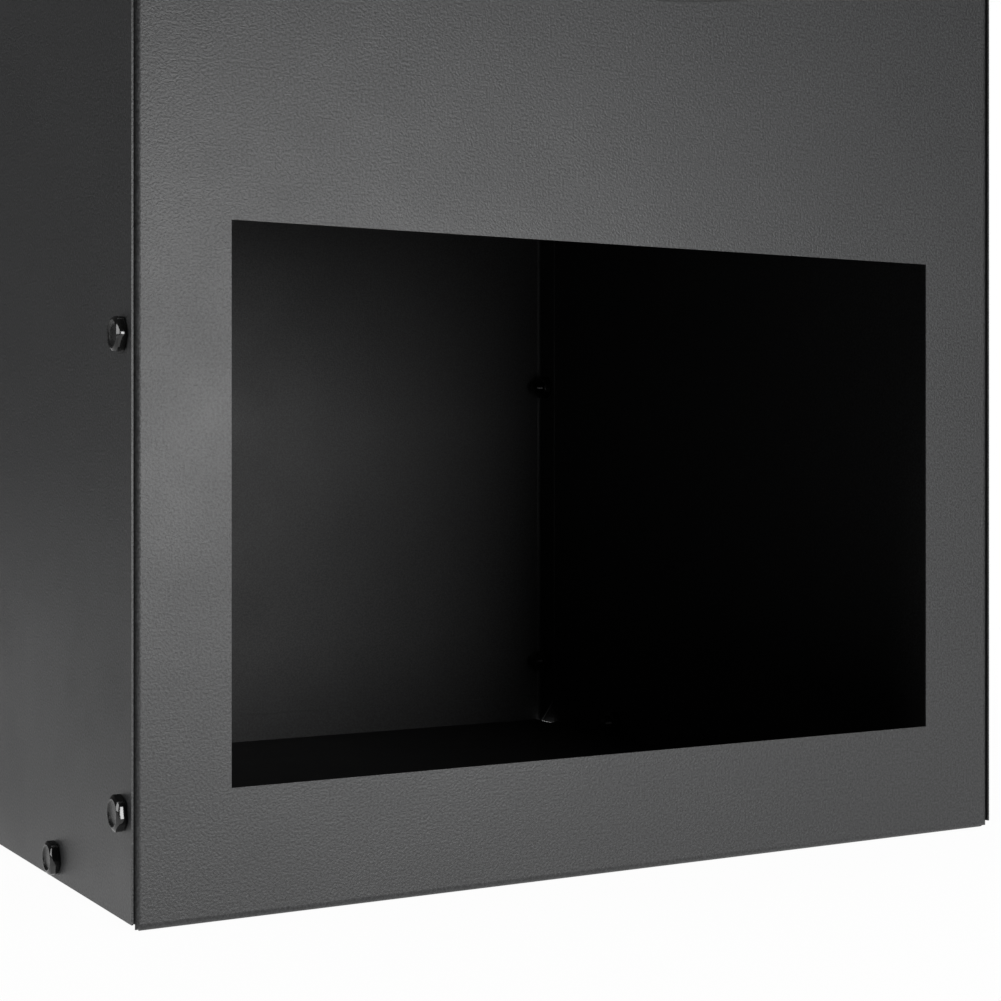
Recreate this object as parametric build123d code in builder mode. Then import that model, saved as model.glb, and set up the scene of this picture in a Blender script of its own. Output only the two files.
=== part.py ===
from build123d import *
from math import atan2, cos, hypot, pi, radians, sin, sqrt, tan
import os

os.makedirs("parts", exist_ok=True)

# Body: four sheet-steel panels bolted into a square tower
width = 430.0
depth = 420.0
body_height = 992.0
sheet = 0.8
panel_bend = 3.0
flange = 19.0
side_lift = 3.0
seam_gap = 0.3

# Bolt rows that join the panels
row_count = 6
end_row = 43.5
bolt_inset = 10.5

# Log store opening, with the same border beside it as the fire opening has
front_border = 40.0
store_bottom = 51.0
store_height = 218.0

# Fire opening, with a hanging arc below and an arch above
sill_height = 375.0
sill_radius = 375.0
arch_height = 806.0
arch_radius = 375.0

# Trays: the floor of the log store and the hearth above it
tray_flange = 17.0
tray_bend = 1.3
tray_bolt_height = 9.0
tray_bolt_inset = 94.0
hearth_height = 367.0

# Bolts and nuts of the sheet joints
bolt_across = 13.0
bolt_head = 4.2
bolt_radius = 4.0
bolt_length = 12.0
nut_height = 6.0
hole_clearance = 0.4
thread_clearance = 0.05
head_bevel_share = 0.16
nut_bevel_share = 0.08
head_slope_share = 0.5
dish_rim_share = 0.1
dish_depth_share = 0.17
dish_angle = 30.0
point_bevel_share = 0.17
head_angle = 30.0
head_turns = (10.0, 30.0, 22.0, 47.0, 12.0, 3.0)

# Hood: four sloping plates between the body and the flue
hood_height = 180.0
throat_side = 200.0
hood_skirt = 20.0
skirt_bolt_offset = 110.0
hip_flange = 19.0
hip_bolt_inset = 12.0
hip_bolt_shares = (0.2, 0.8)
throat_seat = 24.0
throat_bolt_inset = 12.0

# Flue: collar plate, pipe and rain cap
collar_height = 40.0
pipe_radius = 75.0
pipe_length = 320.0
pipe_bead_height = 26.0
pipe_bead = 2.2
pipe_fit = 0.05
cap_radius = 118.0
cap_height = 42.0
cap_rim = 7.0
cap_gap = 58.0
strap_count = 3
strap_width = 20.0
strap_thickness = 2.0
strap_lap = 34.0
strap_bend = 5.0
strap_run = 26.0
strap_fit = 0.05
strap_angle = 90.0
cap_bolt_run = 16.5
cap_bolt_across = 8.0
cap_bolt_head = 2.6
cap_bolt_radius = 2.5
cap_bolt_length = 9.0
cap_nut_height = 3.0

# Fire grate: a ring of round bar on four legs, with bent bars across it
grate_clearance = 45.0
grate_rod = 10.0
grate_corner = 24.0
grate_lift = 38.0
leg_rod = 8.0
leg_inset = 50.0
bar_count = 11
bar_rod = 8.0
bar_margin = 26.0
bar_overhang = 6.0
bar_bend = 16.0
log_stop = 34.0
weld_gap = 0.05

# Ash pan under the grate
pan_side_clearance = 30.0
pan_end_clearance = 25.0
pan_height = 22.0
pan_sheet = 1.0
pan_lip = 7.0
pan_angle = 12.0
pan_corner = 16.0

# Loose pieces stand this far off what carries them, and cuts run past faces by the overrun
stand_gap = 0.3
overrun = 5.0

# Places worked out from the sizes above
half_width = width / 2
half_depth = depth / 2
mouth_width = width - 2 * front_border
grate_width = width - 2 * grate_clearance
grate_depth = depth - 2 * grate_clearance
pan_width = grate_width - 2 * pan_side_clearance
pan_depth = grate_depth - 2 * pan_end_clearance
row_pitch = (body_height - 2 * end_row) / (row_count - 1)
rows = [end_row + row * row_pitch for row in range(row_count)]
row_offset = half_depth - bolt_inset
tray_offset = half_depth - tray_bolt_inset
hearth_top = hearth_height + sheet
throat_half = throat_side / 2
hood_top = body_height + hood_height
pipe_base = hood_top + sheet
pipe_top = pipe_base + pipe_length
cap_base = pipe_top + cap_gap
joint_stack = 2 * sheet
hole_radius = bolt_radius + hole_clearance
cap_hole_radius = cap_bolt_radius + hole_clearance
up = Vector(0, 0, 1)

# Each wall: the direction into the body, the half span to the wall and the half span along it
walls = {
    "left": (Vector(1, 0, 0), half_width, half_depth),
    "right": (Vector(-1, 0, 0), half_width, half_depth),
    "front": (Vector(0, 1, 0), half_depth, half_width),
    "back": (Vector(0, -1, 0), half_depth, half_width),
}


def wall_plane(wall, along=0.0, height=0.0):
    """Plane on a wall's outer face: X runs along the wall, Y up, the normal out of it."""
    inward, reach, _ = walls[wall]
    sideways = inward.cross(up)
    return Plane(inward * -reach + sideways * along + up * height, x_dir=sideways, z_dir=inward * -1)


def section_plane(wall):
    """Upright plane through the middle of a wall: X runs in from its outer face, Y up."""
    inward, reach, _ = walls[wall]
    return Plane(inward * -reach, x_dir=inward, z_dir=inward.cross(up))


def slope_plane(wall, along=0.0, climb=0.0):
    """Plane on a hood plate's outer face, measured from the middle of its lower edge."""
    inward, reach, _ = walls[wall]
    lean = reach - sheet - throat_half
    length = hypot(hood_height, lean)
    sideways = inward.cross(up)
    uphill = (inward * lean + up * hood_height) * (1 / length)
    origin = inward * (sheet - reach) + up * body_height + sideways * along + uphill * climb
    return Plane(origin, x_dir=sideways, z_dir=sideways.cross(uphill))


def side_places(offset, heights):
    """Places on both side walls at one distance from the middle, towards the back if positive."""
    places = []
    for wall in ("left", "right"):
        sideways = walls[wall][0].cross(up)
        places += [wall_plane(wall, offset * sideways.Y, height) for height in heights]
    return places


def skirt_places(wall_names):
    """Places of the bolts that hold the hood's skirts to the tops of the walls."""
    height = body_height - hood_skirt / 2
    return [
        wall_plane(wall, along, height)
        for wall in wall_names
        for along in (-skirt_bolt_offset, skirt_bolt_offset)
    ]


def hip_places(wall):
    """Places of the bolts beside both hips of a hood plate."""
    _, reach, half_span = walls[wall]
    slope = hypot(hood_height, reach - sheet - throat_half)
    half_base = half_span - sheet
    taper = half_base - throat_half
    inset = hip_bolt_inset * hypot(slope, taper) / slope
    return [
        slope_plane(wall, side * (half_base - taper * share - inset), slope * share)
        for share in hip_bolt_shares
        for side in (-1, 1)
    ]


def throat_places():
    """Places of the bolts that hold the collar plate to the hood's top flanges."""
    reach = throat_half - throat_bolt_inset
    return [
        Plane((along * reach, across * reach, pipe_base))
        for along, across in ((-1, 0), (1, 0), (0, -1), (0, 1))
    ]


def round_place(bearing, radius, height, rise):
    """Place on a round surface about the upright axis: its normal climbs by the angle rise."""
    out = Vector(cos(bearing), sin(bearing), 0)
    tangent = Vector(-sin(bearing), cos(bearing), 0)
    return Plane(out * radius + up * height, x_dir=tangent, z_dir=out * cos(rise) + up * sin(rise))


def turned(places):
    """The same places, each turned about its normal as the bolts were left when tightened."""
    result = []
    for number, place in enumerate(places):
        turn = head_turns[number % len(head_turns)]
        x_dir = place.x_dir.rotate(Axis((0, 0, 0), place.z_dir), turn)
        result.append(Plane(place.origin, x_dir=x_dir, z_dir=place.z_dir))
    return result


def bore(places, radius):
    """Cut a round hole through the sheet at each place."""
    with BuildSketch(*places) as holes:
        Circle(radius)
    extrude(holes.sketch, amount=overrun, both=True, mode=Mode.SUBTRACT)


def hex_bolt(across, head, radius, length):
    """Hexagon bolt with its head above the XY plane and its shank below it."""
    with BuildPart() as bolt:
        with BuildSketch():
            RegularPolygon(across / 2, 6, major_radius=False, rotation=head_angle)
        extrude(amount=head)
        corner = across / sqrt(3)
        bevel = across * head_bevel_share
        with BuildSketch(Plane.XZ):
            Polygon(
                (0, 0),
                (corner, 0),
                (corner, head - bevel * head_slope_share),
                (corner - bevel, head),
                (0, head),
                align=None,
            )
        revolve(axis=Axis.Z, mode=Mode.INTERSECT)
        with BuildSketch(Plane.XY.offset(head)):
            Circle(corner - bevel - across * dish_rim_share)
        extrude(amount=-head * dish_depth_share, taper=dish_angle, mode=Mode.SUBTRACT)
        with BuildSketch():
            Circle(radius)
        extrude(amount=-length)
        chamfer(bolt.faces().sort_by(Axis.Z)[0].edges(), radius * point_bevel_share)
    return bolt.part


def hex_nut(across, height, radius):
    """Hexagon nut below the XY plane, bevelled on both faces."""
    with BuildPart() as nut:
        with BuildSketch():
            RegularPolygon(across / 2, 6, major_radius=False)
        extrude(amount=-height)
        corner = across / sqrt(3)
        bevel = across * nut_bevel_share
        drop = bevel * head_slope_share
        with BuildSketch(Plane.XZ):
            Polygon(
                (0, 0),
                (corner - bevel, 0),
                (corner, -drop),
                (corner, drop - height),
                (corner - bevel, -height),
                (0, -height),
                align=None,
            )
        revolve(axis=Axis.Z, mode=Mode.INTERSECT)
        with BuildSketch():
            Circle(radius + thread_clearance)
        extrude(amount=-height, mode=Mode.SUBTRACT)
    return nut.part


def folded_panel(wall):
    """Panel with flanges bent in along both sides and the bottom, mitred at the corners."""
    with BuildPart() as panel:
        face_width = 2 * (walls[wall][2] - sheet)
        with BuildSketch(wall_plane(wall)):
            Rectangle(face_width, body_height, align=(Align.CENTER, Align.MIN))
        extrude(amount=-flange)
        inward = walls[wall][0]
        outer = panel.faces().sort_by(Axis((0, 0, 0), inward))[0]
        rim = outer.edges().sort_by(Axis.Z)[:-1]
        fillet(rim, panel_bend)
        top = panel.faces().sort_by(Axis.Z)[-1]
        rear = panel.faces().sort_by(Axis((0, 0, 0), inward))[-1]
        offset(amount=-sheet, openings=[top, rear])
        half = face_width / 2
        reach = flange + overrun
        sideways = inward.cross(up)
        for side in (-1, 1):
            corner = inward * -walls[wall][1] + sideways * side * half
            with BuildSketch(Plane(corner, x_dir=inward, z_dir=sideways)) as side_mitre:
                Polygon((0, 0), (reach, 0), (reach, reach), align=None)
            with BuildSketch(Plane(corner, x_dir=inward, z_dir=up)) as bottom_mitre:
                Polygon((0, 0), (reach, 0), (reach, side * reach), align=None)
            for mitre in (side_mitre, bottom_mitre):
                extrude(mitre.sketch, amount=panel_bend, both=True, mode=Mode.SUBTRACT)
    return panel.part


def folded_tray(height):
    """Tray with four upturned flanges, its corners notched round the panels' flanges."""
    with BuildPart() as tray:
        with BuildSketch(Plane.XY.offset(height)):
            Rectangle(width - 2 * sheet, depth - 2 * sheet)
        extrude(amount=tray_flange)
        fillet(tray.faces().sort_by(Axis.Z)[0].edges(), tray_bend)
        offset(amount=-sheet, openings=tray.faces().sort_by(Axis.Z)[-1])
        notch_x = 2 * (panel_bend + seam_gap)
        notch_y = 2 * (flange - sheet + seam_gap)
        with BuildSketch(Plane.XY.offset(height)) as notches:
            with GridLocations(width - 2 * sheet, depth - 2 * sheet, 2, 2):
                Rectangle(notch_x, notch_y)
        extrude(notches.sketch, amount=tray_flange, mode=Mode.SUBTRACT)
        bore(side_places(tray_offset, [height + tray_bolt_height]), hole_radius)
        bore(side_places(-tray_offset, [height + tray_bolt_height]), hole_radius)
    return tray.part


def hood_form():
    """Outer form of the hood over the body's inner outline."""
    with BuildPart() as form:
        with BuildSketch(Plane.XY.offset(body_height)):
            Rectangle(width - 2 * sheet, depth - 2 * sheet)
        with BuildSketch(Plane.XY.offset(hood_top)):
            Rectangle(throat_side, throat_side)
        loft(ruled=True)
    return form.part


def hood_band(wall, inset, thickness):
    """Sloping band along a whole wall, set in by inset and measured square to its face."""
    reach = walls[wall][1]
    lean = reach - sheet - throat_half
    stretch = hypot(hood_height, lean) / hood_height
    low = sheet + inset * stretch
    with BuildPart() as band:
        with BuildSketch(section_plane(wall)):
            Polygon(
                (low, body_height),
                (low + lean, hood_top),
                (low + lean + thickness * stretch, hood_top),
                (low + thickness * stretch, body_height),
                align=None,
            )
        extrude(amount=half_width, both=True)
    return band.part


def hood_plate(wall, skirt_half_span):
    """Sloping plate with a skirt inside the wall's top and a flange round the throat."""
    reach = walls[wall][1]
    lean = reach - sheet - throat_half
    with BuildPart() as plate:
        add(hood_band(wall, 0, sheet))
        with BuildSketch(section_plane(wall)) as seat:
            with Locations((sheet + lean, hood_top)):
                Rectangle(throat_seat, sheet, align=(Align.MIN, Align.MAX))
        extrude(seat.sketch, amount=half_width, both=True)
        add(hood_form(), mode=Mode.INTERSECT)
        with BuildSketch(section_plane(wall)) as skirt:
            with Locations((sheet, body_height)):
                Rectangle(sheet, hood_skirt, align=(Align.MIN, Align.MAX))
        extrude(skirt.sketch, amount=skirt_half_span, both=True)
    return plate.part


def hip_flange_strip(wall, side):
    """Strip under a neighbouring plate along one hip of a front or back plate."""
    with BuildPart() as strip:
        add(hood_band(side, sheet, sheet))
        add(hood_band(wall, 0, hip_flange), mode=Mode.INTERSECT)
        add(hood_form(), mode=Mode.INTERSECT)
    return strip.part


def cut_store_opening(wall):
    """Cut the log store's rectangular mouth."""
    with BuildSketch(wall_plane(wall, height=store_bottom)) as mouth:
        Rectangle(mouth_width, store_height, align=(Align.CENTER, Align.MIN))
    extrude(mouth.sketch, amount=overrun, both=True, mode=Mode.SUBTRACT)


def cut_fire_opening(wall):
    """Cut the fire opening: upright sides between a hanging arc and an arch."""
    half = mouth_width / 2
    sill_side = sill_height + sill_radius - sqrt(sill_radius**2 - half**2)
    arch_side = arch_height - arch_radius + sqrt(arch_radius**2 - half**2)
    with BuildSketch(wall_plane(wall)) as mouth:
        with BuildLine():
            ThreePointArc((-half, sill_side), (0, sill_height), (half, sill_side))
            Line((half, sill_side), (half, arch_side))
            ThreePointArc((half, arch_side), (0, arch_height), (-half, arch_side))
            Line((-half, arch_side), (-half, sill_side))
        make_face()
    extrude(mouth.sketch, amount=overrun, both=True, mode=Mode.SUBTRACT)


# Front panel: the log store's mouth below, the fire opening above
with BuildPart() as front_panel:
    add(folded_panel("front"))
    cut_store_opening("front")
    cut_fire_opening("front")
    bore(side_places(-row_offset, rows), hole_radius)
    bore(skirt_places(["front"]), hole_radius)
front_panel.part.label = "front_panel"
export_step(front_panel.part, "parts/front_panel.step")

# Back panel: closed, otherwise folded and drilled like the front
with BuildPart() as back_panel:
    add(folded_panel("back"))
    bore(side_places(row_offset, rows), hole_radius)
    bore(skirt_places(["back"]), hole_radius)
back_panel.part.label = "back_panel"
export_step(back_panel.part, "parts/back_panel.step")

# Floor of the log store
with BuildPart() as log_floor_tray:
    add(folded_tray(side_lift))
log_floor_tray.part.label = "log_floor_tray"
export_step(log_floor_tray.part, "parts/log_floor_tray.step")

# Hearth: the same tray again, between the log store and the fire
with BuildPart() as hearth_tray:
    add(folded_tray(hearth_height))
hearth_tray.part.label = "hearth_tray"
export_step(hearth_tray.part, "parts/hearth_tray.step")


def side_panel(wall):
    """Flat side sheet, its edges flush with the front and back panels' faces."""
    with BuildPart() as panel:
        with BuildSketch(wall_plane(wall, height=side_lift)):
            Rectangle(depth, body_height - side_lift, align=(Align.CENTER, Align.MIN))
        extrude(amount=-sheet)
        bore(side_places(-row_offset, rows), hole_radius)
        bore(side_places(row_offset, rows), hole_radius)
        for height in (side_lift, hearth_height):
            bore(side_places(-tray_offset, [height + tray_bolt_height]), hole_radius)
            bore(side_places(tray_offset, [height + tray_bolt_height]), hole_radius)
        bore(skirt_places([wall]), hole_radius)
    return panel.part


# Side panels
with BuildPart() as left_side_panel:
    add(side_panel("left"))
left_side_panel.part.label = "left_side_panel"
export_step(left_side_panel.part, "parts/left_side_panel.step")

with BuildPart() as right_side_panel:
    add(side_panel("right"))
right_side_panel.part.label = "right_side_panel"
export_step(right_side_panel.part, "parts/right_side_panel.step")

# Hood side plates: flat over the hips, with the neighbours' flanges under them
side_skirt_span = half_depth - flange - seam_gap
front_skirt_span = half_width - sheet - panel_bend - seam_gap

with BuildPart() as hood_left:
    add(hood_plate("left", side_skirt_span))
    bore(hip_places("left"), hole_radius)
    bore(skirt_places(["left"]), hole_radius)
    bore(throat_places(), hole_radius)
hood_left.part.label = "hood_left"
export_step(hood_left.part, "parts/hood_left.step")

with BuildPart() as hood_right:
    add(hood_plate("right", side_skirt_span))
    bore(hip_places("right"), hole_radius)
    bore(skirt_places(["right"]), hole_radius)
    bore(throat_places(), hole_radius)
hood_right.part.label = "hood_right"
export_step(hood_right.part, "parts/hood_right.step")


def flanged_hood_plate(wall):
    """Hood plate between the side plates, with flanges under them along both hips."""
    with BuildPart() as plate:
        add(hood_plate(wall, front_skirt_span))
        for side in ("left", "right"):
            add(hip_flange_strip(wall, side))
            add(hood_plate(side, side_skirt_span), mode=Mode.SUBTRACT)
        bore(hip_places("left") + hip_places("right"), hole_radius)
        bore(skirt_places([wall]), hole_radius)
        bore(throat_places(), hole_radius)
    return plate.part


# Hood front and back plates
with BuildPart() as hood_front:
    add(flanged_hood_plate("front"))
hood_front.part.label = "hood_front"
export_step(hood_front.part, "parts/hood_front.step")

with BuildPart() as hood_back:
    add(flanged_hood_plate("back"))
hood_back.part.label = "hood_back"
export_step(hood_back.part, "parts/hood_back.step")

# Collar plate on the hood's throat, with the ring that the flue pipe slips over
collar_radius = pipe_radius - sheet - pipe_fit
with BuildPart() as flue_collar:
    with BuildSketch(Plane.XY.offset(hood_top)):
        Rectangle(throat_side, throat_side)
        Circle(collar_radius - sheet, mode=Mode.SUBTRACT)
    extrude(amount=sheet)
    with BuildSketch(Plane.XY.offset(hood_top)):
        Circle(collar_radius)
        Circle(collar_radius - sheet, mode=Mode.SUBTRACT)
    extrude(amount=sheet + collar_height)
    bore(throat_places(), hole_radius)
flue_collar.part.label = "flue_collar"
export_step(flue_collar.part, "parts/flue_collar.step")

# Straps that carry the rain cap: each runs up the pipe and bends out under the cap's slope
cap_slope = atan2(cap_height, cap_radius)
strap_angles = [radians(strap_angle) + 2 * pi * number / strap_count for number in range(strap_count)]
strap_radius = pipe_radius + strap_fit
strap_sag = (hypot(strap_radius, strap_width / 2) - strap_radius) * tan(cap_slope)
strap_peak = cap_base + cap_height - strap_radius * tan(cap_slope) - sheet / cos(cap_slope)
strap_peak -= strap_sag + strap_fit
pipe_bolt_places = [
    round_place(bearing, strap_radius + strap_thickness, pipe_top - strap_lap / 2, 0)
    for bearing in strap_angles
]
cap_bolt_radius_out = strap_radius + cap_bolt_run * cos(cap_slope)
cap_bolt_places = [
    round_place(
        bearing,
        cap_bolt_radius_out,
        cap_base + cap_height - cap_bolt_radius_out * tan(cap_slope),
        pi / 2 - cap_slope,
    )
    for bearing in strap_angles
]

with BuildPart() as cap_straps:
    for bearing in strap_angles:
        out = Vector(cos(bearing), sin(bearing), 0)
        with BuildSketch(Plane((0, 0, 0), x_dir=out, z_dir=out.cross(up))) as profile:
            with BuildLine():
                FilletPolyline(
                    (strap_radius, pipe_top - strap_lap),
                    (strap_radius, strap_peak),
                    (strap_radius + strap_run * cos(cap_slope), strap_peak - strap_run * sin(cap_slope)),
                    radius=strap_bend,
                )
                offset(amount=strap_thickness, side=Side.RIGHT)
            make_face()
        extrude(amount=strap_width / 2, both=True)
    bore(pipe_bolt_places + cap_bolt_places, cap_hole_radius)
cap_straps.part.label = "cap_straps"
export_step(cap_straps.part, "parts/cap_straps.step")

# Flue pipe: rolled sheet, with a pressed bead above the collar's joint
bead_level = pipe_base + collar_height + pipe_bead_height
inner_radius = pipe_radius - sheet
with BuildPart() as flue_pipe:
    with BuildSketch(Plane.XZ):
        with Locations((inner_radius, pipe_base)):
            Rectangle(sheet, pipe_length, align=(Align.MIN, Align.MIN))
        with Locations((inner_radius, bead_level)):
            Circle(pipe_bead + sheet)
            Circle(pipe_bead, mode=Mode.SUBTRACT)
            Rectangle(inner_radius, pipe_length, align=(Align.MAX, Align.CENTER), mode=Mode.SUBTRACT)
    revolve(axis=Axis.Z)
    bore(pipe_bolt_places, cap_hole_radius)
flue_pipe.part.label = "flue_pipe"
export_step(flue_pipe.part, "parts/flue_pipe.step")

# Rain cap: a shallow cone of sheet with its rim turned down
with BuildPart() as rain_cap:
    with BuildSketch(Plane.XZ):
        drop = sheet / cos(cap_slope)
        Polygon(
            (0, cap_base + cap_height),
            (0, cap_base + cap_height - drop),
            (cap_radius - sheet, cap_base + sheet * tan(cap_slope) - drop),
            (cap_radius - sheet, cap_base - cap_rim),
            (cap_radius, cap_base - cap_rim),
            (cap_radius, cap_base),
            align=None,
        )
    revolve(axis=Axis.Z)
    bore(cap_bolt_places, cap_hole_radius)
rain_cap.part.label = "rain_cap"
export_step(rain_cap.part, "parts/rain_cap.step")

# Fire grate: a ring of round bar with four legs, standing on the hearth
grate_foot = hearth_top + stand_gap
ring_height = grate_foot + grate_lift + grate_rod / 2
ring_x = (grate_width - grate_rod) / 2
ring_y = (grate_depth - grate_rod) / 2
with BuildPart() as grate_frame:
    with BuildLine(Plane.XY.offset(ring_height)) as ring:
        FilletPolyline(
            (ring_x, -ring_y),
            (ring_x, ring_y),
            (-ring_x, ring_y),
            (-ring_x, -ring_y),
            close=True,
            radius=grate_corner,
        )
    with BuildSketch(Plane(ring.wire() @ 0, z_dir=ring.wire() % 0)):
        Circle(grate_rod / 2)
    sweep(path=ring.wire())
    with BuildSketch(Plane.XY.offset(grate_foot)):
        with GridLocations(2 * ring_x, grate_depth - 2 * leg_inset, 2, 2):
            Circle(leg_rod / 2)
    extrude(amount=ring_height - grate_foot)
grate_frame.part.label = "grate_frame"
export_step(grate_frame.part, "parts/grate_frame.step")

# Bars across the ring, bent up at the front to hold the logs back
bar_height = ring_height + (grate_rod + bar_rod) / 2 + weld_gap
bar_end = grate_depth / 2 + bar_overhang
bar_pitch = (grate_width - 2 * bar_margin) / (bar_count - 1)
with BuildPart() as one_bar:
    with BuildLine(Plane.YZ):
        FilletPolyline(
            (bar_end, bar_height),
            (-bar_end, bar_height),
            (-bar_end, bar_height + log_stop),
            radius=bar_bend,
        )
    with BuildSketch(Plane((0, bar_end, bar_height), z_dir=(0, -1, 0))):
        Circle(bar_rod / 2)
    sweep()
with BuildPart() as grate_bars:
    with GridLocations(bar_pitch, 0, bar_count, 1):
        add(one_bar.part)
grate_bars.part.label = "grate_bars"
export_step(grate_bars.part, "parts/grate_bars.step")

# Ash pan: pressed tray with leaning sides and a flat lip, lying on the hearth under the grate
pan_base = hearth_top + stand_gap
pan_spread = 2 * pan_height * tan(radians(pan_angle))
with BuildPart() as ash_pan:
    with BuildSketch(Plane.XY.offset(pan_base)):
        RectangleRounded(pan_width, pan_depth, pan_corner)
    extrude(amount=pan_height, taper=-pan_angle)
    with BuildSketch(Plane.XY.offset(pan_base + pan_height)):
        RectangleRounded(
            pan_width + pan_spread + 2 * pan_lip,
            pan_depth + pan_spread + 2 * pan_lip,
            pan_corner + pan_lip,
        )
    extrude(amount=-pan_sheet)
    with BuildSketch(Plane.XY.offset(pan_base + pan_sheet)):
        RectangleRounded(pan_width - 2 * pan_sheet, pan_depth - 2 * pan_sheet, pan_corner - pan_sheet)
    extrude(amount=pan_height, taper=-pan_angle, mode=Mode.SUBTRACT)
ash_pan.part.label = "ash_pan"
export_step(ash_pan.part, "parts/ash_pan.step")

# Bolts and nuts of the sheet joints, one group for each seam
sheet_bolt = hex_bolt(bolt_across, bolt_head, bolt_radius, bolt_length)
sheet_nut = hex_nut(bolt_across, nut_height, bolt_radius)
seams = {
    "front": side_places(-row_offset, rows),
    "back": side_places(row_offset, rows),
    "floor": side_places(tray_offset, [side_lift + tray_bolt_height])
    + side_places(-tray_offset, [side_lift + tray_bolt_height]),
    "hearth": side_places(tray_offset, [hearth_height + tray_bolt_height])
    + side_places(-tray_offset, [hearth_height + tray_bolt_height]),
    "hood_skirt": skirt_places(walls),
    "hood_hip": hip_places("left") + hip_places("right"),
    "collar": throat_places(),
}
for seam, places in seams.items():
    with BuildPart() as bolts:
        with Locations(*turned(places)):
            add(sheet_bolt)
    bolts.part.label = f"{seam}_bolts"
    export_step(bolts.part, f"parts/{seam}_bolts.step")
    with BuildPart() as nuts:
        with Locations(*[place.offset(-joint_stack) for place in turned(places)]):
            add(sheet_nut)
    nuts.part.label = f"{seam}_nuts"
    export_step(nuts.part, f"parts/{seam}_nuts.step")

# Small bolts and nuts of the straps, on the pipe and through the cap
cap_bolt = hex_bolt(cap_bolt_across, cap_bolt_head, cap_bolt_radius, cap_bolt_length)
cap_nut = hex_nut(cap_bolt_across, cap_nut_height, cap_bolt_radius)
nut_corner = cap_bolt_across / sqrt(3)
pipe_nut_depth = strap_radius + strap_thickness - sqrt(inner_radius**2 - nut_corner**2)
cap_nut_depth = sheet + (strap_sag + strap_fit) * cos(cap_slope) + strap_thickness
small_seams = {
    "strap": (pipe_bolt_places, pipe_nut_depth),
    "cap": (cap_bolt_places, cap_nut_depth),
}
for seam, (places, nut_depth) in small_seams.items():
    with BuildPart() as bolts:
        with Locations(*turned(places)):
            add(cap_bolt)
    bolts.part.label = f"{seam}_bolts"
    export_step(bolts.part, f"parts/{seam}_bolts.step")
    with BuildPart() as nuts:
        with Locations(*[place.offset(-nut_depth) for place in turned(places)]):
            add(cap_nut)
    nuts.part.label = f"{seam}_nuts"
    export_step(nuts.part, f"parts/{seam}_nuts.step")
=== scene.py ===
import math

import bmesh
import bpy
import numpy as np
from mathutils import Matrix, Vector


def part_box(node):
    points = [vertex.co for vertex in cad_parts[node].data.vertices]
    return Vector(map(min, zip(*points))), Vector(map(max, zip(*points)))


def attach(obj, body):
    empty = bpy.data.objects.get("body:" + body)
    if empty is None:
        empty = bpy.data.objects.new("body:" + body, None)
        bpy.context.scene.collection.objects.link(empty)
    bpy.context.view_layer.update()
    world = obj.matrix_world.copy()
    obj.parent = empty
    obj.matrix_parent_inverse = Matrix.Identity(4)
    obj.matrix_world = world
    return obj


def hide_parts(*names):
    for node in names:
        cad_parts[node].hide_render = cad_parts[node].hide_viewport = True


bl_info = {
    "name": "Outdoor fireplace finishes",
    "version": (1, 0, 0),
    "blender": (4, 5, 0),
    "location": "View3D > Sidebar > Fireplace",
    "description": "Gives the sheet-steel fireplace its powder coat, dressed fasteners, welds and studio",
    "category": "Object",
}

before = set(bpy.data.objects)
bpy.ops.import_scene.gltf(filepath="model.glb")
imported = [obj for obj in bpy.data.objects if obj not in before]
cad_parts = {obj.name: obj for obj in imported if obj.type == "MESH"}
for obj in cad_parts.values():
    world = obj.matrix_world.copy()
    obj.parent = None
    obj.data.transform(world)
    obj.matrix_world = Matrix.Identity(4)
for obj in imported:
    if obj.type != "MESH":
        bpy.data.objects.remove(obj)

BODY = "body"
GRATE = "grate"
COATED_NODES = (
    "front_panel", "back_panel", "left_side_panel", "right_side_panel", "log_floor_tray", "hearth_tray",
    "hood_front", "hood_back", "hood_left", "hood_right", "flue_collar", "flue_pipe", "rain_cap",
    "cap_straps",
)
GRATE_NODES = ("grate_frame", "grate_bars")
PAN_NODE = "ash_pan"
SEAMS = ("front", "back", "floor", "hearth", "hood_skirt", "hood_hip", "collar", "strap", "cap")

# Points nearer than the first are one, and a pipe wall that stands out less than the second is straight
MERGE_DISTANCE = 1e-6
LEAST_BULGE = 1e-5

# How finely round shapes are divided
TURN_STEPS = 72
BEAD_STEPS = 16
CHAMFER_STEPS = 6
CORNER_STEPS = 4
ROUNDING_STEPS = 2
POINTS_PER_RIPPLE = 4

# Edges past these angles are rounded, or shaded as sharp
ROUNDED_ANGLE = math.radians(28)
SHARP_ANGLE = math.radians(35)

# Outline of a head's forged dish from its middle out, as shares of the rim's radius and the head's height
DISH_SHARES = ((0, 0.76), (0.66, 0.76), (0.82, 0.83), (0.89, 0.98), (0.94, 1))

# How far the end faces stop inside the corners, as shares of the width across the flats
HEAD_RIM_SHARE = 0.15
NUT_RIM_SHARE = 0.1

# Depth of a head's chamfers as shares of its height, and of a nut's as a share of its width across the flats
HEAD_CHAMFER_SHARE = 0.35
SEAT_CHAMFER_SHARE = 0.17
NUT_CHAMFER_SHARE = 0.07

# How far a chamfer bulges, as a share of its depth, and how deep a thread is, as a share of its pitch
CROWN_SHARE = 0.08
THREAD_DEPTH_SHARE = 0.5

# Places of the weld beads, as shares of the bar's radius, the leg's half width and the bead's width
BEAD_SIDE_SHARE = 0.85
LEG_BEAD_SIDE_SHARE = 0.9
BEAD_LIFT_SHARE = 0.2
LEG_BEAD_DROP_SHARE = 0.1

# How far a weld's ripples swing to either side of their middle, as a share of half the bead's width
RIPPLE_SHARE = 0.08

# Cosine between a face's normal and the axis: above the first for an end face, below the second for a side
END_COSINE = 0.999
SIDE_COSINE = 0.02

# Points past this share of half the width across the flats belong to the hexagon, not to the shank
HEXAGON_SHARE = 0.99

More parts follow.
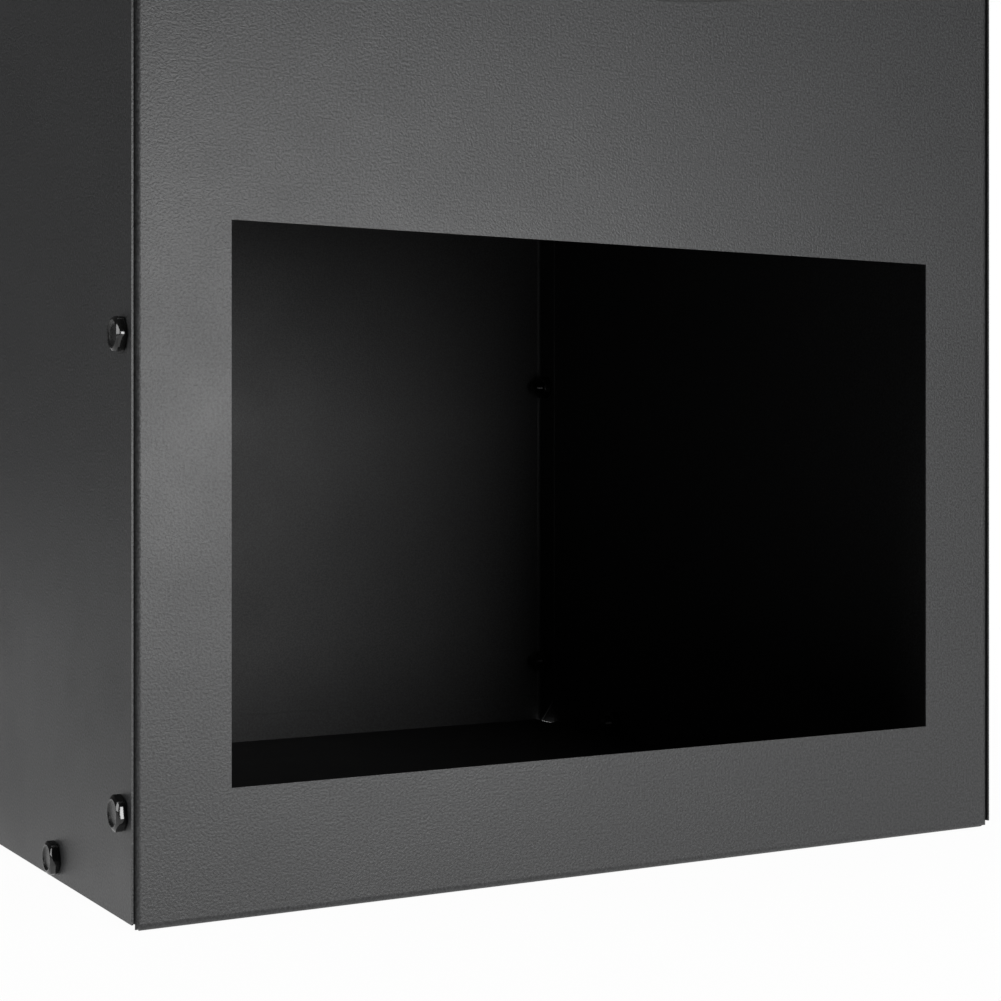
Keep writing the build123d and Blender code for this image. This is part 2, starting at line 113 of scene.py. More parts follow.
# Sockets of a colour mix, whose names come back for each kind of value
MIX_FACTOR = 0
MIX_A = 6
MIX_B = 7
MIX_RESULT = 2

# Range that a noise pattern mostly keeps to, and the part of it that the pebbles take up
NOISE_RANGE = {"From Min": 0.3, "From Max": 0.7}
PEBBLE_RANGE = {"From Min": 0.35, "From Max": 0.7}

# How the smears change the film's roughness, and how the steel under a coat changes its shade
SMEAR_ROUGHNESS = (-0.03, 0.04)
UNEVEN_SHADE_SHARES = (0.75, 1.25)

# Place, aim, width and height of each softbox
KEY_BOX = ((0.42, -1.66, 0.26), (0.42, 0, 0.26), 0.8, 0.5)
TOP_BOX = ((-0.4, -0.4, 3.4), (0, 0, 1.1), 1.4, 1.4)
LEFT_BOX = ((-2.4, 0, 0.8), (0, 0, 0.6), 1.2, 1.2)
RIGHT_BOX = ((2.3, 0.9, 0.8), (0, 0, 0.6), 1.2, 1.2)
BACK_BOX = ((0.9, 2.6, 1.2), (0, 0, 0.7), 1.6, 1.6)

# The camera sees nothing nearer than this
NEAREST_SEEN = 0.05


def linear(code):
    """Scene-linear colour of an sRGB hex code."""
    channels = [int(code[start:start + 2], 16) / 255 for start in (1, 3, 5)]
    return tuple(c / 12.92 if c <= 0.04045 else ((c + 0.055) / 1.055) ** 2.4 for c in channels)


def colour_setting(name, description, code):
    """A colour that the panel shows, its default given as an sRGB hex code."""
    return bpy.props.FloatVectorProperty(
        name=name, description=description, subtype="COLOR", size=3, min=0, max=1, default=linear(code)
    )


def length_setting(name, description, metres):
    """A length that the panel shows in the scene's units."""
    return bpy.props.FloatProperty(
        name=name, description=description, unit="LENGTH", precision=5, default=metres
    )


class CoatSettings(bpy.types.PropertyGroup):
    """The textured powder coat of the sheet steel."""

    colour: colour_setting("Coat", "Black powder coat between its pebbles", "#171718")
    fleck: colour_setting("Fleck", "Paler tops of the coat's pebbles", "#393a3b")
    speck: colour_setting("Speck", "Pinholes where the coat is deepest", "#131313")
    grain: length_setting("Grain", "Width of one pebble of the coat", 0.001)
    relief: length_setting("Relief", "Height of the coat's pebbles", 0.00014)
    speck_spacing: length_setting("Speck spacing", "Distance between neighbouring pinholes", 0.0034)
    speck_free_share: bpy.props.FloatProperty(
        name="Speck free share", description="Share of the places that have no pinhole", min=0, max=1,
        default=0.45,
    )
    speck_share: bpy.props.FloatProperty(
        name="Speck share", description="Radius of the largest pinhole as a share of the spacing",
        min=0, max=1, default=0.11,
    )
    cloud: length_setting("Cloud", "Width of the soft patches left by the spray gun", 0.06)
    cloud_share: bpy.props.FloatProperty(
        name="Cloud share", description="How much the patches change the sheen", default=0.15
    )
    roughness: bpy.props.FloatProperty(
        name="Roughness", description="Satin sheen of the coat", min=0, max=1, default=0.45
    )
    inner_roughness: bpy.props.FloatProperty(
        name="Inner roughness", description="Duller sheen inside, where less powder reaches", min=0, max=1,
        default=0.6,
    )
    # Painted shade: how much of the coat's colour is kept on the faces inside the body's walls, darkened to
    # stand in for the shade that falls there
    inner_painted_shade_share: bpy.props.FloatProperty(
        name="Inner shade share", description="How much of the coat's colour its thin layer inside keeps",
        min=0, max=1, default=0.55,
    )


class FastenerSettings(bpy.types.PropertyGroup):
    """The glossy black bolts and nuts."""

    colour: colour_setting("Fastener", "Black of the electro-coated steel", "#060606")
    head_round: length_setting("Corner round", "Radius of the forged hexagon's corners", 0.0015)
    edge_round: length_setting("Edge round", "Radius of the small edges", 0.00012)
    thread_pitch: length_setting("Thread pitch", "Rise of one turn of the larger bolts' thread", 0.00125)
    thread_radius: length_setting("Thread radius", "Radius of the bolts that have that pitch", 0.004)
    smear: length_setting("Smear", "Width of a smear in the film", 1 / 900)
    film_relief: length_setting("Film relief", "Height of the smears on the glossy film", 0.00001)
    dish_relief: length_setting("Dish relief", "Height of the smears on the dull film", 0.00004)
    roughness: bpy.props.FloatProperty(
        name="Roughness", description="Gloss of the electro-coat", min=0, max=1, default=0.11
    )
    dish_roughness: bpy.props.FloatProperty(
        name="Dish roughness", description="Dull film over the forged dish of a head", min=0, max=1,
        default=0.28,
    )
    dish_rim_share: bpy.props.FloatProperty(
        name="Dish rim share", description="Dish radius as a share of the head's corner radius",
        min=0, max=1, default=0.72,
    )


class GrateSettings(bpy.types.PropertyGroup):
    """The grate's bars, welds and the ash pan."""

    paint: colour_setting("Stove paint", "Matt black heat-proof paint of the grate", "#2c2b2a")
    pan: colour_setting("Pan enamel", "Satin black enamel of the ash pan", "#2a2a2b")
    paint_roughness: bpy.props.FloatProperty(
        name="Paint roughness", description="Dullness of the stove paint", min=0, max=1, default=0.72
    )
    pan_roughness: bpy.props.FloatProperty(
        name="Pan roughness", description="Satin sheen of the enamel", min=0, max=1, default=0.42
    )
    paint_scale: length_setting("Paint scale", "Width of the patches of mill scale under the paint", 0.003)
    paint_relief: length_setting("Paint relief", "Height of those patches", 0.00006)
    pan_wave: length_setting("Pan wave", "Width of the waves that firing leaves in the enamel", 0.008)
    pan_relief: length_setting("Pan relief", "Height of those waves", 0.00002)
    ring_rod: length_setting("Ring rod", "Diameter of the grate's ring", 0.010)
    bead_width: length_setting("Bead width", "Width of a weld bead", 0.0042)
    bead_length: length_setting("Bead length", "Length of a weld bead", 0.0076)
    ripple: length_setting("Ripple", "Distance between the ripples of a weld", 0.0016)


class SeamSettings(bpy.types.PropertyGroup):
    """The welded seam down the back of the flue pipe."""

    width: length_setting("Seam width", "Width of the flue pipe's welded seam", 0.0032)
    rise: length_setting("Seam rise", "How far the seam stands out of the pipe", 0.0006)
    ripple: length_setting("Ripple", "Distance between the ripples of the seam", 0.0022)
    inset: length_setting("Inset", "Bare stretch at each end of a run of the seam", 0.003)
    angle: bpy.props.FloatProperty(
        name="Seam angle", description="Where the seam runs, from +X", subtype="ANGLE",
        default=math.radians(90),
    )


class StageSettings(bpy.types.PropertyGroup):
    """Floor, lamps and camera."""

    floor_size: length_setting("Floor size", "Side of the floor", 30.0)
    paper: colour_setting("Paper", "Pale paper of the floor", "#e7e7e7")
    shadow_start: length_setting("Shadow start", "Where the floor's shadow starts to fade", 0.25)
    shadow_reach: length_setting("Shadow reach", "How far from the object the floor shows its shadow", 1.2)
    near_white_share: bpy.props.FloatProperty(
        name="Near white share", description="How white the floor is beside the object", min=0, max=1,
        default=0.97,
    )
    camera_side: length_setting("Camera side", "Camera left of the middle", 0.45914)
    camera_back: length_setting("Camera back", "Camera in front of the middle", 0.91496)
    camera_height: length_setting("Camera height", "Camera above the floor", 0.1771)
    camera_turn: bpy.props.FloatProperty(
        name="Camera turn", description="Angle from +Y to the right", subtype="ANGLE",
        default=math.radians(29.748),
    )
    sensor: bpy.props.FloatProperty(
        name="Sensor", description="Width of the sensor in millimetres", default=36
    )
    lens: bpy.props.FloatProperty(
        name="Lens", description="Focal length in millimetres", default=70.63
    )
    shift: bpy.props.FloatProperty(
        name="Shift", description="Vertical shift of the picture", default=-0.04126
    )
    key_power: bpy.props.FloatProperty(name="Key", description="Front softbox", unit="POWER", default=17.5)
    top_power: bpy.props.FloatProperty(name="Top", description="High softbox", unit="POWER", default=40)
    side_power: bpy.props.FloatProperty(
        name="Side", description="Left and right softbox", unit="POWER", default=23
    )
    back_power: bpy.props.FloatProperty(name="Back", description="Rear softbox", unit="POWER", default=48)
    ambient: bpy.props.FloatProperty(name="Ambient", description="Light from the room", default=0.05)
    gloss_share: bpy.props.FloatProperty(
        name="Gloss share", description="How much of the white backdrop shows in gloss", min=0, max=1,
        default=0.04,
    )
    lit_paper: bpy.props.FloatVectorProperty(
        name="Lit paper", description="Middle of the floor patch that gloss shows", unit="LENGTH", size=3,
        default=(0.1, -0.35, 0),
    )
    lit_start: length_setting("Lit start", "Where that patch starts to fade", 0.43)
    lit_reach: length_setting("Lit reach", "How far that patch reaches", 0.73)
    floor_gloss_share: bpy.props.FloatProperty(
        name="Floor gloss share", description="How much of the floor's white shows in gloss there",
        min=0, max=1, default=0.9,
    )


def add_node(tree, kind, inputs=None, **settings):
    """Add a node with its settings; each input is a value or the socket that feeds it."""
    node = tree.nodes.new(kind)
    for name, value in settings.items():
        setattr(node, name, value)
    for name, value in (inputs or {}).items():
        if isinstance(value, bpy.types.NodeSocket):
            tree.links.new(value, node.inputs[name])
        else:
            node.inputs[name].default_value = value
    return node


def new_material(name):
    """An empty node material and its shader tree."""
    material = bpy.data.materials.new(name)
    material.use_nodes = True
    material.node_tree.nodes.clear()
    return material, material.node_tree


def rgba(colour):
    """A colour setting as a socket value."""
    return (*colour, 1)


def inside_share(tree, place):
    """One on the faces inside the body's four walls, zero outside and on the hood and flue; it sets the
    duller sheen and the painted shade inside.
    """
    low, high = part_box("left_side_panel")
    front_low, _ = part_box("front_panel")
    _, back_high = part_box("back_panel")
    _, right_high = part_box("right_side_panel")
    middle = ((low.x + right_high.x) / 2, (front_low.y + back_high.y) / 2, (low.z + high.z) / 2)
    skin = (high.x - low.x) / 2
    reach = (
        (right_high.x - low.x) / 2 - skin, (back_high.y - front_low.y) / 2 - skin, (high.z - low.z) / 2
    )
    from_middle = add_node(tree, "ShaderNodeVectorMath", {0: place, 1: middle}, operation="SUBTRACT")
    distance = add_node(
        tree, "ShaderNodeVectorMath", {0: from_middle.outputs["Vector"]}, operation="ABSOLUTE"
    )
    parts = add_node(tree, "ShaderNodeSeparateXYZ", {0: distance.outputs["Vector"]})
    share = None
    for name, limit in zip("XYZ", reach):
        within = add_node(
            tree, "ShaderNodeMath", {0: parts.outputs[name], 1: limit}, operation="LESS_THAN"
        ).outputs[0]
        share = within if share is None else add_node(
            tree, "ShaderNodeMath", {0: share, 1: within}, operation="MULTIPLY"
        ).outputs[0]
    return share


def powder_coat(coat):
    """Textured polyester powder coat, sprayed on the steel and fused in an oven."""
    # The eye sees a satin black skin of fine pebbles, a few pinholes, and soft patches from the spray gun.
    # The pebbles are about as wide as the photo's, and that is wide enough to show.
    material, tree = new_material("textured_black_powder_coat")
    place = add_node(tree, "ShaderNodeTexCoord").outputs["Object"]
    pebbles = add_node(
        tree, "ShaderNodeTexNoise",
        {"Vector": place, "Scale": 1 / coat.grain, "Detail": 1.5, "Roughness": 0.6},
    )
    clouds = add_node(
        tree, "ShaderNodeTexNoise",
        {"Vector": place, "Scale": 1 / coat.cloud, "Detail": 3, "Roughness": 0.55},
    )
    cells = add_node(
        tree, "ShaderNodeTexVoronoi", {"Vector": place, "Scale": 1 / coat.speck_spacing, "Randomness": 1}
    )
    # Only some cells hold a pinhole, and its size differs from cell to cell
    chance = add_node(tree, "ShaderNodeSeparateColor", {"Color": cells.outputs["Color"]})
    size = add_node(
        tree, "ShaderNodeMapRange",
        {
            "Value": chance.outputs["Red"], "From Min": coat.speck_free_share, "From Max": 1,
            "To Min": 0, "To Max": coat.speck_share,
        },
    )
    hole = add_node(
        tree, "ShaderNodeMath", {0: cells.outputs["Distance"], 1: size.outputs["Result"]},
        operation="LESS_THAN",
    )
    tops = add_node(
        tree, "ShaderNodeMapRange",
        {"Value": pebbles.outputs["Fac"], **PEBBLE_RANGE, "To Min": 0, "To Max": 1},
    )
    body = add_node(
        tree, "ShaderNodeMix",
        {MIX_FACTOR: tops.outputs["Result"], MIX_A: rgba(coat.colour), MIX_B: rgba(coat.fleck)},
        data_type="RGBA",
    )
    colour = add_node(
        tree, "ShaderNodeMix",
        {MIX_FACTOR: hole.outputs["Value"], MIX_A: body.outputs[MIX_RESULT], MIX_B: rgba(coat.speck)},
        data_type="RGBA",
    )
    inside = inside_share(tree, place)
    sheen = add_node(
        tree, "ShaderNodeMapRange",
        {"Value": inside, "To Min": coat.roughness, "To Max": coat.inner_roughness},
    )
    sway = add_node(tree, "ShaderNodeMath", {0: clouds.outputs["Fac"], 1: 0.5}, operation="SUBTRACT")
    cloudy_sheen = add_node(
        tree, "ShaderNodeMath",
        {0: sway.outputs["Value"], 1: coat.cloud_share, 2: sheen.outputs["Result"]},
        operation="MULTIPLY_ADD",
    )
    # Painted shade: the coat's colour is darkened on the faces inside the body's walls, where shade falls
    shade = add_node(
        tree, "ShaderNodeMapRange", {"Value": inside, "To Min": 1, "To Max": coat.inner_painted_shade_share}
    )
    shaded = add_node(
        tree, "ShaderNodeVectorMath",
        {0: colour.outputs[MIX_RESULT], "Scale": shade.outputs["Result"]}, operation="SCALE",
    )
    relief = add_node(
        tree, "ShaderNodeBump", {"Height": pebbles.outputs["Fac"], "Distance": coat.relief, "Strength": 1}
    )
    shader = add_node(
        tree, "ShaderNodeBsdfPrincipled",
        {
            "Base Color": shaded.outputs["Vector"], "Roughness": cloudy_sheen.outputs["Value"],
            "Normal": relief.outputs["Normal"],
        },
    )
    add_node(tree, "ShaderNodeOutputMaterial", {"Surface": shader.outputs["BSDF"]})
    return material


def electro_coat(name, fastener, roughness, relief_height):
    """Black electro-coat, a thin dipped film whose gloss follows the forged steel under it."""
    # A real film's unevenness is too fine to show, so it is drawn as smears about 1 mm wide
    material, tree = new_material(name)
    place = add_node(tree, "ShaderNodeTexCoord").outputs["Object"]
    smears = add_node(
        tree, "ShaderNodeTexNoise", {"Vector": place, "Scale": 1 / fastener.smear, "Detail": 2}
    )
    gloss = add_node(
        tree, "ShaderNodeMapRange",
        {
            "Value": smears.outputs["Fac"], **NOISE_RANGE,
            "To Min": roughness + SMEAR_ROUGHNESS[0], "To Max": roughness + SMEAR_ROUGHNESS[1],
        },
    )
    relief = add_node(
        tree, "ShaderNodeBump", {"Height": smears.outputs["Fac"], "Distance": relief_height, "Strength": 1}
    )
    shader = add_node(
        tree, "ShaderNodeBsdfPrincipled",
        {
            "Base Color": rgba(fastener.colour), "Roughness": gloss.outputs["Result"], "IOR": 1.55,
            "Normal": relief.outputs["Normal"],
        },
    )
    add_node(tree, "ShaderNodeOutputMaterial", {"Surface": shader.outputs["BSDF"]})
    return material


def glossy_film(fastener):
    """Electro-coat on the smooth flats and chamfers."""
    # The eye sees near black faces with sharp, bright reflections that waver a little
    return electro_coat(
        "glossy_black_electro_coat", fastener, fastener.roughness, fastener.film_relief
    )


def dull_film(fastener):
    """Electro-coat over the rougher forged dish of a head."""
    # The eye sees a soft grey sheen in place of sharp reflections
    return electro_coat(
        "dull_black_electro_coat", fastener, fastener.dish_roughness, fastener.dish_relief
    )


def uneven_coat(name, colour, roughness, grain, relief_height):
    """A coat whose shade and level follow the uneven steel under it."""
    material, tree = new_material(name)
    place = add_node(tree, "ShaderNodeTexCoord").outputs["Object"]
    scale = add_node(
        tree, "ShaderNodeTexNoise", {"Vector": place, "Scale": 1 / grain, "Detail": 4, "Roughness": 0.6}
    )
    shade = add_node(
        tree, "ShaderNodeMapRange",
        {
            "Value": scale.outputs["Fac"], **NOISE_RANGE,
            "To Min": UNEVEN_SHADE_SHARES[0], "To Max": UNEVEN_SHADE_SHARES[1],
        },
    )
    tint = add_node(
        tree, "ShaderNodeVectorMath", {0: colour[:], "Scale": shade.outputs["Result"]}, operation="SCALE"
    )
    relief = add_node(
        tree, "ShaderNodeBump", {"Height": scale.outputs["Fac"], "Distance": relief_height, "Strength": 1}
    )
    shader = add_node(
        tree, "ShaderNodeBsdfPrincipled",
        {"Base Color": tint.outputs["Vector"], "Roughness": roughness, "Normal": relief.outputs["Normal"]},
    )
    add_node(tree, "ShaderNodeOutputMaterial", {"Surface": shader.outputs["BSDF"]})
    return material


def stove_paint(grate):
    """Silicone stove paint, sprayed on hot-rolled bar."""
    # The eye sees a dead matt black with the bar's faint mill scale showing through
    return uneven_coat(
        "matt_black_stove_paint", grate.paint, grate.paint_roughness, grate.paint_scale, grate.paint_relief
    )


def pan_enamel(grate):
    """Vitreous enamel, fired on pressed steel."""
    # The eye sees a satin black skin with slow waves from the firing
    return uneven_coat(
        "satin_black_enamel", grate.pan, grate.pan_roughness, grate.pan_wave, grate.pan_relief
    )


def dress_node(node, material):
    """Give a CAD node its material."""
    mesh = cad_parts[node].data
    mesh.materials.clear()
    mesh.materials.append(material)


def merged_solids(node):
    """Each solid of a CAD node as a list of its merged vertices."""
    work = bmesh.new()
    work.from_mesh(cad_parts[node].data)
    bmesh.ops.remove_doubles(work, verts=work.verts, dist=MERGE_DISTANCE)
    left = set(work.verts)
    solids = []
    for first in work.verts:
        if first not in left:
            continue
        left.remove(first)
        waiting = [first]
        solid = [first]
        while waiting:
            vert = waiting.pop()
            fresh = [edge.other_vert(vert) for edge in vert.link_edges]
            fresh = [other for other in fresh if other in left]
            left.difference_update(fresh)
            waiting += fresh
            solid += fresh
        # A dict keeps the faces in their order, so that every run measures the same
        faces = dict.fromkeys(face for vert in solid for face in vert.link_faces)
        points = np.array([vert.co for vert in solid])
        normals = np.array([face.normal for face in faces])
        areas = np.array([face.calc_area() for face in faces])
        solids.append((points, normals, areas))
    work.free()
    return solids


def fastener_place(points, normals, areas):
    """Sizes and placing matrix of a hexagon bolt or nut: Z out of the head, X square to a flat."""
    spread = (normals * areas[:, None]).T @ normals
    values, vectors = np.linalg.eigh(spread)
    axis = vectors[:, 0 if values[1] - values[0] > values[2] - values[1] else 2]
    ends = np.abs(normals @ axis) > END_COSINE
    axis = (normals * (areas * np.sign(normals @ axis) * ends)[:, None]).sum(axis=0)
    axis /= np.linalg.norm(axis)
    sides = np.abs(normals @ axis) < SIDE_COSINE
    totals = {}
    for normal, area in zip(normals[sides], areas[sides]):
        key = tuple(np.round(normal, 2) + 0.0)
        totals[key] = totals.get(key, 0) + area
    flat = np.array(max(totals, key=totals.get))
    flat -= axis * (flat @ axis)
    flat /= np.linalg.norm(flat)
    across_line = points @ flat
    cross = np.cross(axis, flat)
    middle = flat * (across_line.max() + across_line.min()) / 2
    cross_line = points @ cross
    middle = middle + cross * (cross_line.max() + cross_line.min()) / 2
    across = across_line.max() - across_line.min()
    along = points @ axis
    radial = np.linalg.norm(points - middle - np.outer(along, axis), axis=1)
    wide = along[radial > across / 2 * HEXAGON_SHARE]
    if wide.max() + wide.min() < along.max() + along.min() - MERGE_DISTANCE:
        axis, along, wide = -axis, -along, -wide
        cross = -cross
    bearing = wide.min()
    shank = radial[along < bearing - MERGE_DISTANCE]
    origin = middle + axis * bearing
    matrix = Matrix(np.column_stack((flat, cross, axis, origin)).tolist()).to_4x4()
    return {
        "matrix": matrix,
        "across": across,
        "head": along.max() - bearing,
        "length": bearing - along.min(),
        "shank": shank.max() if len(shank) else 0,
        "bore": radial.min(),
    }


def temporary(mesh_name, work):
    """Link a bmesh to the scene as a throwaway object."""
    mesh = bpy.data.meshes.new(mesh_name)
    work.to_mesh(mesh)
    work.free()
    thing = bpy.data.objects.new(mesh_name, mesh)
    bpy.context.scene.collection.objects.link(thing)
    return thing


def turned_solid(profile, closed, steps):
    """Spin a profile of (radius, height) points about Z into a closed solid."""
    work = bmesh.new()
    verts = [work.verts.new((radius, 0, height)) for radius, height in profile]
    pairs = list(zip(verts, verts[1:])) + ([(verts[-1], verts[0])] if closed else [])
    edges = [work.edges.new(pair) for pair in pairs]
    bmesh.ops.spin(
        work, geom=verts + edges, cent=(0, 0, 0), axis=(0, 0, 1), angle=math.tau, steps=steps,
        use_merge=True, use_duplicate=False,
    )
    bmesh.ops.remove_doubles(work, verts=work.verts, dist=MERGE_DISTANCE)
    bmesh.ops.recalc_face_normals(work, faces=work.faces)
    return work


def hexagon_bar(across, low, high, corner_round):
    """Upright hexagon bar with rounded corners, one flat facing +X."""
    work = bmesh.new()
    bmesh.ops.create_circle(
        work, cap_ends=True, segments=6, radius=across / math.sqrt(3),
        matrix=Matrix.Translation((0, 0, low)),
    )
    grown = bmesh.ops.extrude_face_region(work, geom=work.faces[:])
    top = [item for item in grown["geom"] if isinstance(item, bmesh.types.BMVert)]
    bmesh.ops.translate(work, verts=top, vec=(0, 0, high - low))
    corners = [edge for edge in work.edges if abs(edge.verts[0].co.z - edge.verts[1].co.z) > MERGE_DISTANCE]
    bmesh.ops.bevel(
        work, geom=corners, offset=corner_round, segments=CORNER_STEPS, profile=0.5, affect="EDGES",
        material=-1,
    )
    bmesh.ops.recalc_face_normals(work, faces=work.faces)
    return work


def hexagon_template(name, profile, closed, across, fastener):
    """Mesh of one fastener: its turned form cut by a hexagon bar, with its small edges rounded."""
    heights = [height for _, height in profile]
    margin = across
    turned = temporary(name, turned_solid(profile, closed, TURN_STEPS))
    bar = temporary(
        name + "_bar",
        hexagon_bar(across, min(heights) - margin, max(heights) + margin, fastener.head_round),
    )
    cut = turned.modifiers.new("cut", "BOOLEAN")
    cut.operation = "INTERSECT"
    cut.object = bar
    # The cut leaves edges of almost no length at the corners, and they would stop the rounding
    weld = turned.modifiers.new("weld", "WELD")
    weld.merge_threshold = MERGE_DISTANCE
    rounding = turned.modifiers.new("rounding", "BEVEL")
    rounding.width = fastener.edge_round
    rounding.segments = ROUNDING_STEPS
    rounding.limit_method = "ANGLE"
    rounding.angle_limit = ROUNDED_ANGLE
    graph = bpy.context.evaluated_depsgraph_get()
    mesh = bpy.data.meshes.new_from_object(turned.evaluated_get(graph))
    for thing in (turned, bar):
        old = thing.data
        bpy.data.objects.remove(thing)
        bpy.data.meshes.remove(old)
    return mesh


def crowned_chamfer(inner, outer, level, drop):
    """Slightly crowned cone from an end face at the inner radius out to the side at the outer one."""
    shares = [step / CHAMFER_STEPS for step in range(CHAMFER_STEPS + 1)]
    crown = drop * CROWN_SHARE
    return [
        (inner + (outer - inner) * share, level - drop * share + crown * math.sin(math.pi * share))
        for share in shares
    ]


def bolt_profile(size, pitch):
    """Half outline of a bolt, from the middle of its dished head down to its point."""
    corner = size["across"] / math.sqrt(3)
    head = size["head"]
    shank = size["shank"]
    length = size["length"]
    rim = corner - size["across"] * HEAD_RIM_SHARE
    points = [
        *((rim * out, head * up) for out, up in DISH_SHARES),
        *crowned_chamfer(rim, corner, head, head * HEAD_CHAMFER_SHARE),
        *reversed(crowned_chamfer(rim, corner, 0, -head * SEAT_CHAMFER_SHARE)),
        (shank, 0),
    ]
    turns = int(length / pitch) - 1
    start = -(length - turns * pitch)
    depth = pitch * THREAD_DEPTH_SHARE
    for turn in range(turns):
        low = start - turn * pitch
        points += [(shank, low), (shank - depth, low - pitch / 2)]
    points += [(shank - depth, -length), (0, -length)]
    return points


def nut_profile(size):
    """Closed half outline of a nut bevelled at both ends, its bore clear of the thread."""
    corner = size["across"] / math.sqrt(3)
    height = size["head"] + size["length"]
    rim = corner - size["across"] * NUT_RIM_SHARE
    drop = size["across"] * NUT_CHAMFER_SHARE
    return [
        (size["bore"], 0),
        *crowned_chamfer(rim, corner, 0, -drop),
        *reversed(crowned_chamfer(rim, corner, height, drop)),
        (size["bore"], height),
    ]


def finished_piece(name, work, materials, body):
    """Turn a bmesh into a smooth-shaded piece that rides on a body."""
    mesh = bpy.data.meshes.new(name)
    work.to_mesh(mesh)
    work.free()
    mesh.shade_smooth()
    mesh.set_sharp_from_angle(angle=SHARP_ANGLE)
    for material in materials:
        mesh.materials.append(material)
    piece = bpy.data.objects.new(name, mesh)
    bpy.context.scene.collection.objects.link(piece)
    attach(piece, body)
    return piece


def placed_copies(template, matrices):
    """One bmesh that holds a copy of the template at each place."""
    work = bmesh.new()
    for matrix in matrices:
        copy = template.copy()
        copy.transform(matrix)
        work.from_mesh(copy)
        bpy.data.meshes.remove(copy)
    return work


def weld_profile(width, length, ripple):
    """Half outline of a weld bead that lies along Z, rounded at its ends, with a step for each ripple."""
    count = max(2, round(length / ripple))
    steps = count * POINTS_PER_RIPPLE
    points = [(0, -length / 2)]
    for step in range(1, steps):
        along = step / steps
        rounded = min(1, math.sqrt(math.sin(math.pi * along) * length / width))
        crest = 1 - RIPPLE_SHARE * (1 - math.cos(math.tau * step / POINTS_PER_RIPPLE))
        points.append((width / 2 * rounded * crest, length * (along - 0.5)))
    return points + [(0, length / 2)]


def weld_mesh(name, width, length, ripple):
    """Mesh of one weld bead along Z."""
    mesh = bpy.data.meshes.new(name)
    work = turned_solid(weld_profile(width, length, ripple), False, BEAD_STEPS)
    work.to_mesh(mesh)
    work.free()
    return mesh


def grate_weld_places(grate):
    """Places of the beads on both sides of each bar, where it lies on the ring, and at the legs."""
    low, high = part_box("grate_frame")
    rod = grate.ring_rod
    upright = Matrix.Rotation(math.radians(90), 4, "X")
    places = []
    for points, _, _ in merged_solids("grate_bars"):
        middle = (points[:, 0].max() + points[:, 0].min()) / 2
        radius = (points[:, 0].max() - points[:, 0].min()) / 2
        for across in (low.y + rod / 2, high.y - rod / 2):
            for side in (-1, 1):
                spot = (
                    middle + side * radius * BEAD_SIDE_SHARE, across,
                    high.z + grate.bead_width * BEAD_LIFT_SHARE,
                )
                places.append(Matrix.Translation(spot) @ upright)
    points = np.concatenate([solid[0] for solid in merged_solids("grate_frame")])
    feet = points[points[:, 2] < low.z + MERGE_DISTANCE]
    for side in (-1, 1):
        for end in (-1, 1):
            foot = feet[(feet[:, 0] * side > 0) & (feet[:, 1] * end > 0)]
            centre = (foot.max(axis=0) + foot.min(axis=0)) / 2
            reach = (foot[:, 1].max() - foot[:, 1].min()) / 2
            for turn in (-1, 1):
                spot = (
                    centre[0], centre[1] + turn * reach * LEG_BEAD_SIDE_SHARE,
                    high.z - rod - grate.bead_width * LEG_BEAD_DROP_SHARE,
                )
                places.append(Matrix.Translation(spot) @ Matrix.Rotation(math.radians(90), 4, "Y"))
    return places


def seam_runs(seam):
    """Straight stretches of the flue pipe's wall, as its radius and the lowest and highest level of each."""
    points = np.concatenate([solid[0] for solid in merged_solids("flue_pipe")])
    low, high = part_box("flue_pipe")
    _, collar_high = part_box("flue_collar")
    reach = np.hypot(points[:, 0], points[:, 1])
    wall = reach[points[:, 2] > high.z - MERGE_DISTANCE].max()
    bulge = points[reach > wall + LEAST_BULGE][:, 2]
    stops = [max(low.z, collar_high.z), bulge.min(), bulge.max(), high.z]
    runs = zip(stops[::2], stops[1::2])
    return wall, [(start + seam.inset, end - seam.inset) for start, end in runs]


class FIREPLACE_OT_coat(bpy.types.Operator):
    """Coat the sheet-steel pieces"""

    bl_idname = "fireplace.coat"
    bl_label = "Coat the sheet steel"

    def execute(self, context):
        material = powder_coat(context.scene.fireplace_coat)
        for node in COATED_NODES:
            dress_node(node, material)
        return {"FINISHED"}


class FIREPLACE_OT_fasteners(bpy.types.Operator):
    """Build the hexagon bolts and nuts of every seam"""

    bl_idname = "fireplace.fasteners"
    bl_label = "Fit the fasteners"

    def execute(self, context):
        fastener = context.scene.fireplace_fastener
        glossy = glossy_film(fastener)
        dull = dull_film(fastener)
        for seam in SEAMS:
            for kind in ("bolts", "nuts"):
                node = f"{seam}_{kind}"
                sizes = [fastener_place(*solid) for solid in merged_solids(node)]
                if kind == "bolts":
                    pitch = fastener.thread_pitch * sizes[0]["shank"] / fastener.thread_radius
                    profile = bolt_profile(sizes[0], pitch)
                else:
                    profile = nut_profile(sizes[0])
                template = hexagon_template(node, profile, kind == "nuts", sizes[0]["across"], fastener)
                reach = sizes[0]["across"] / math.sqrt(3) * fastener.dish_rim_share
                for face in template.polygons:
                    in_dish = face.center.z > sizes[0]["head"] / 2 and face.center.xy.length < reach
                    face.material_index = int(kind == "bolts" and in_dish)
                work = placed_copies(template, [size["matrix"] for size in sizes])
                bpy.data.meshes.remove(template)
                films = (glossy, dull) if kind == "bolts" else (glossy,)
                piece = finished_piece(f"{seam}_hexagon_{kind}", work, films, BODY)
                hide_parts(node)
        return {"FINISHED"}


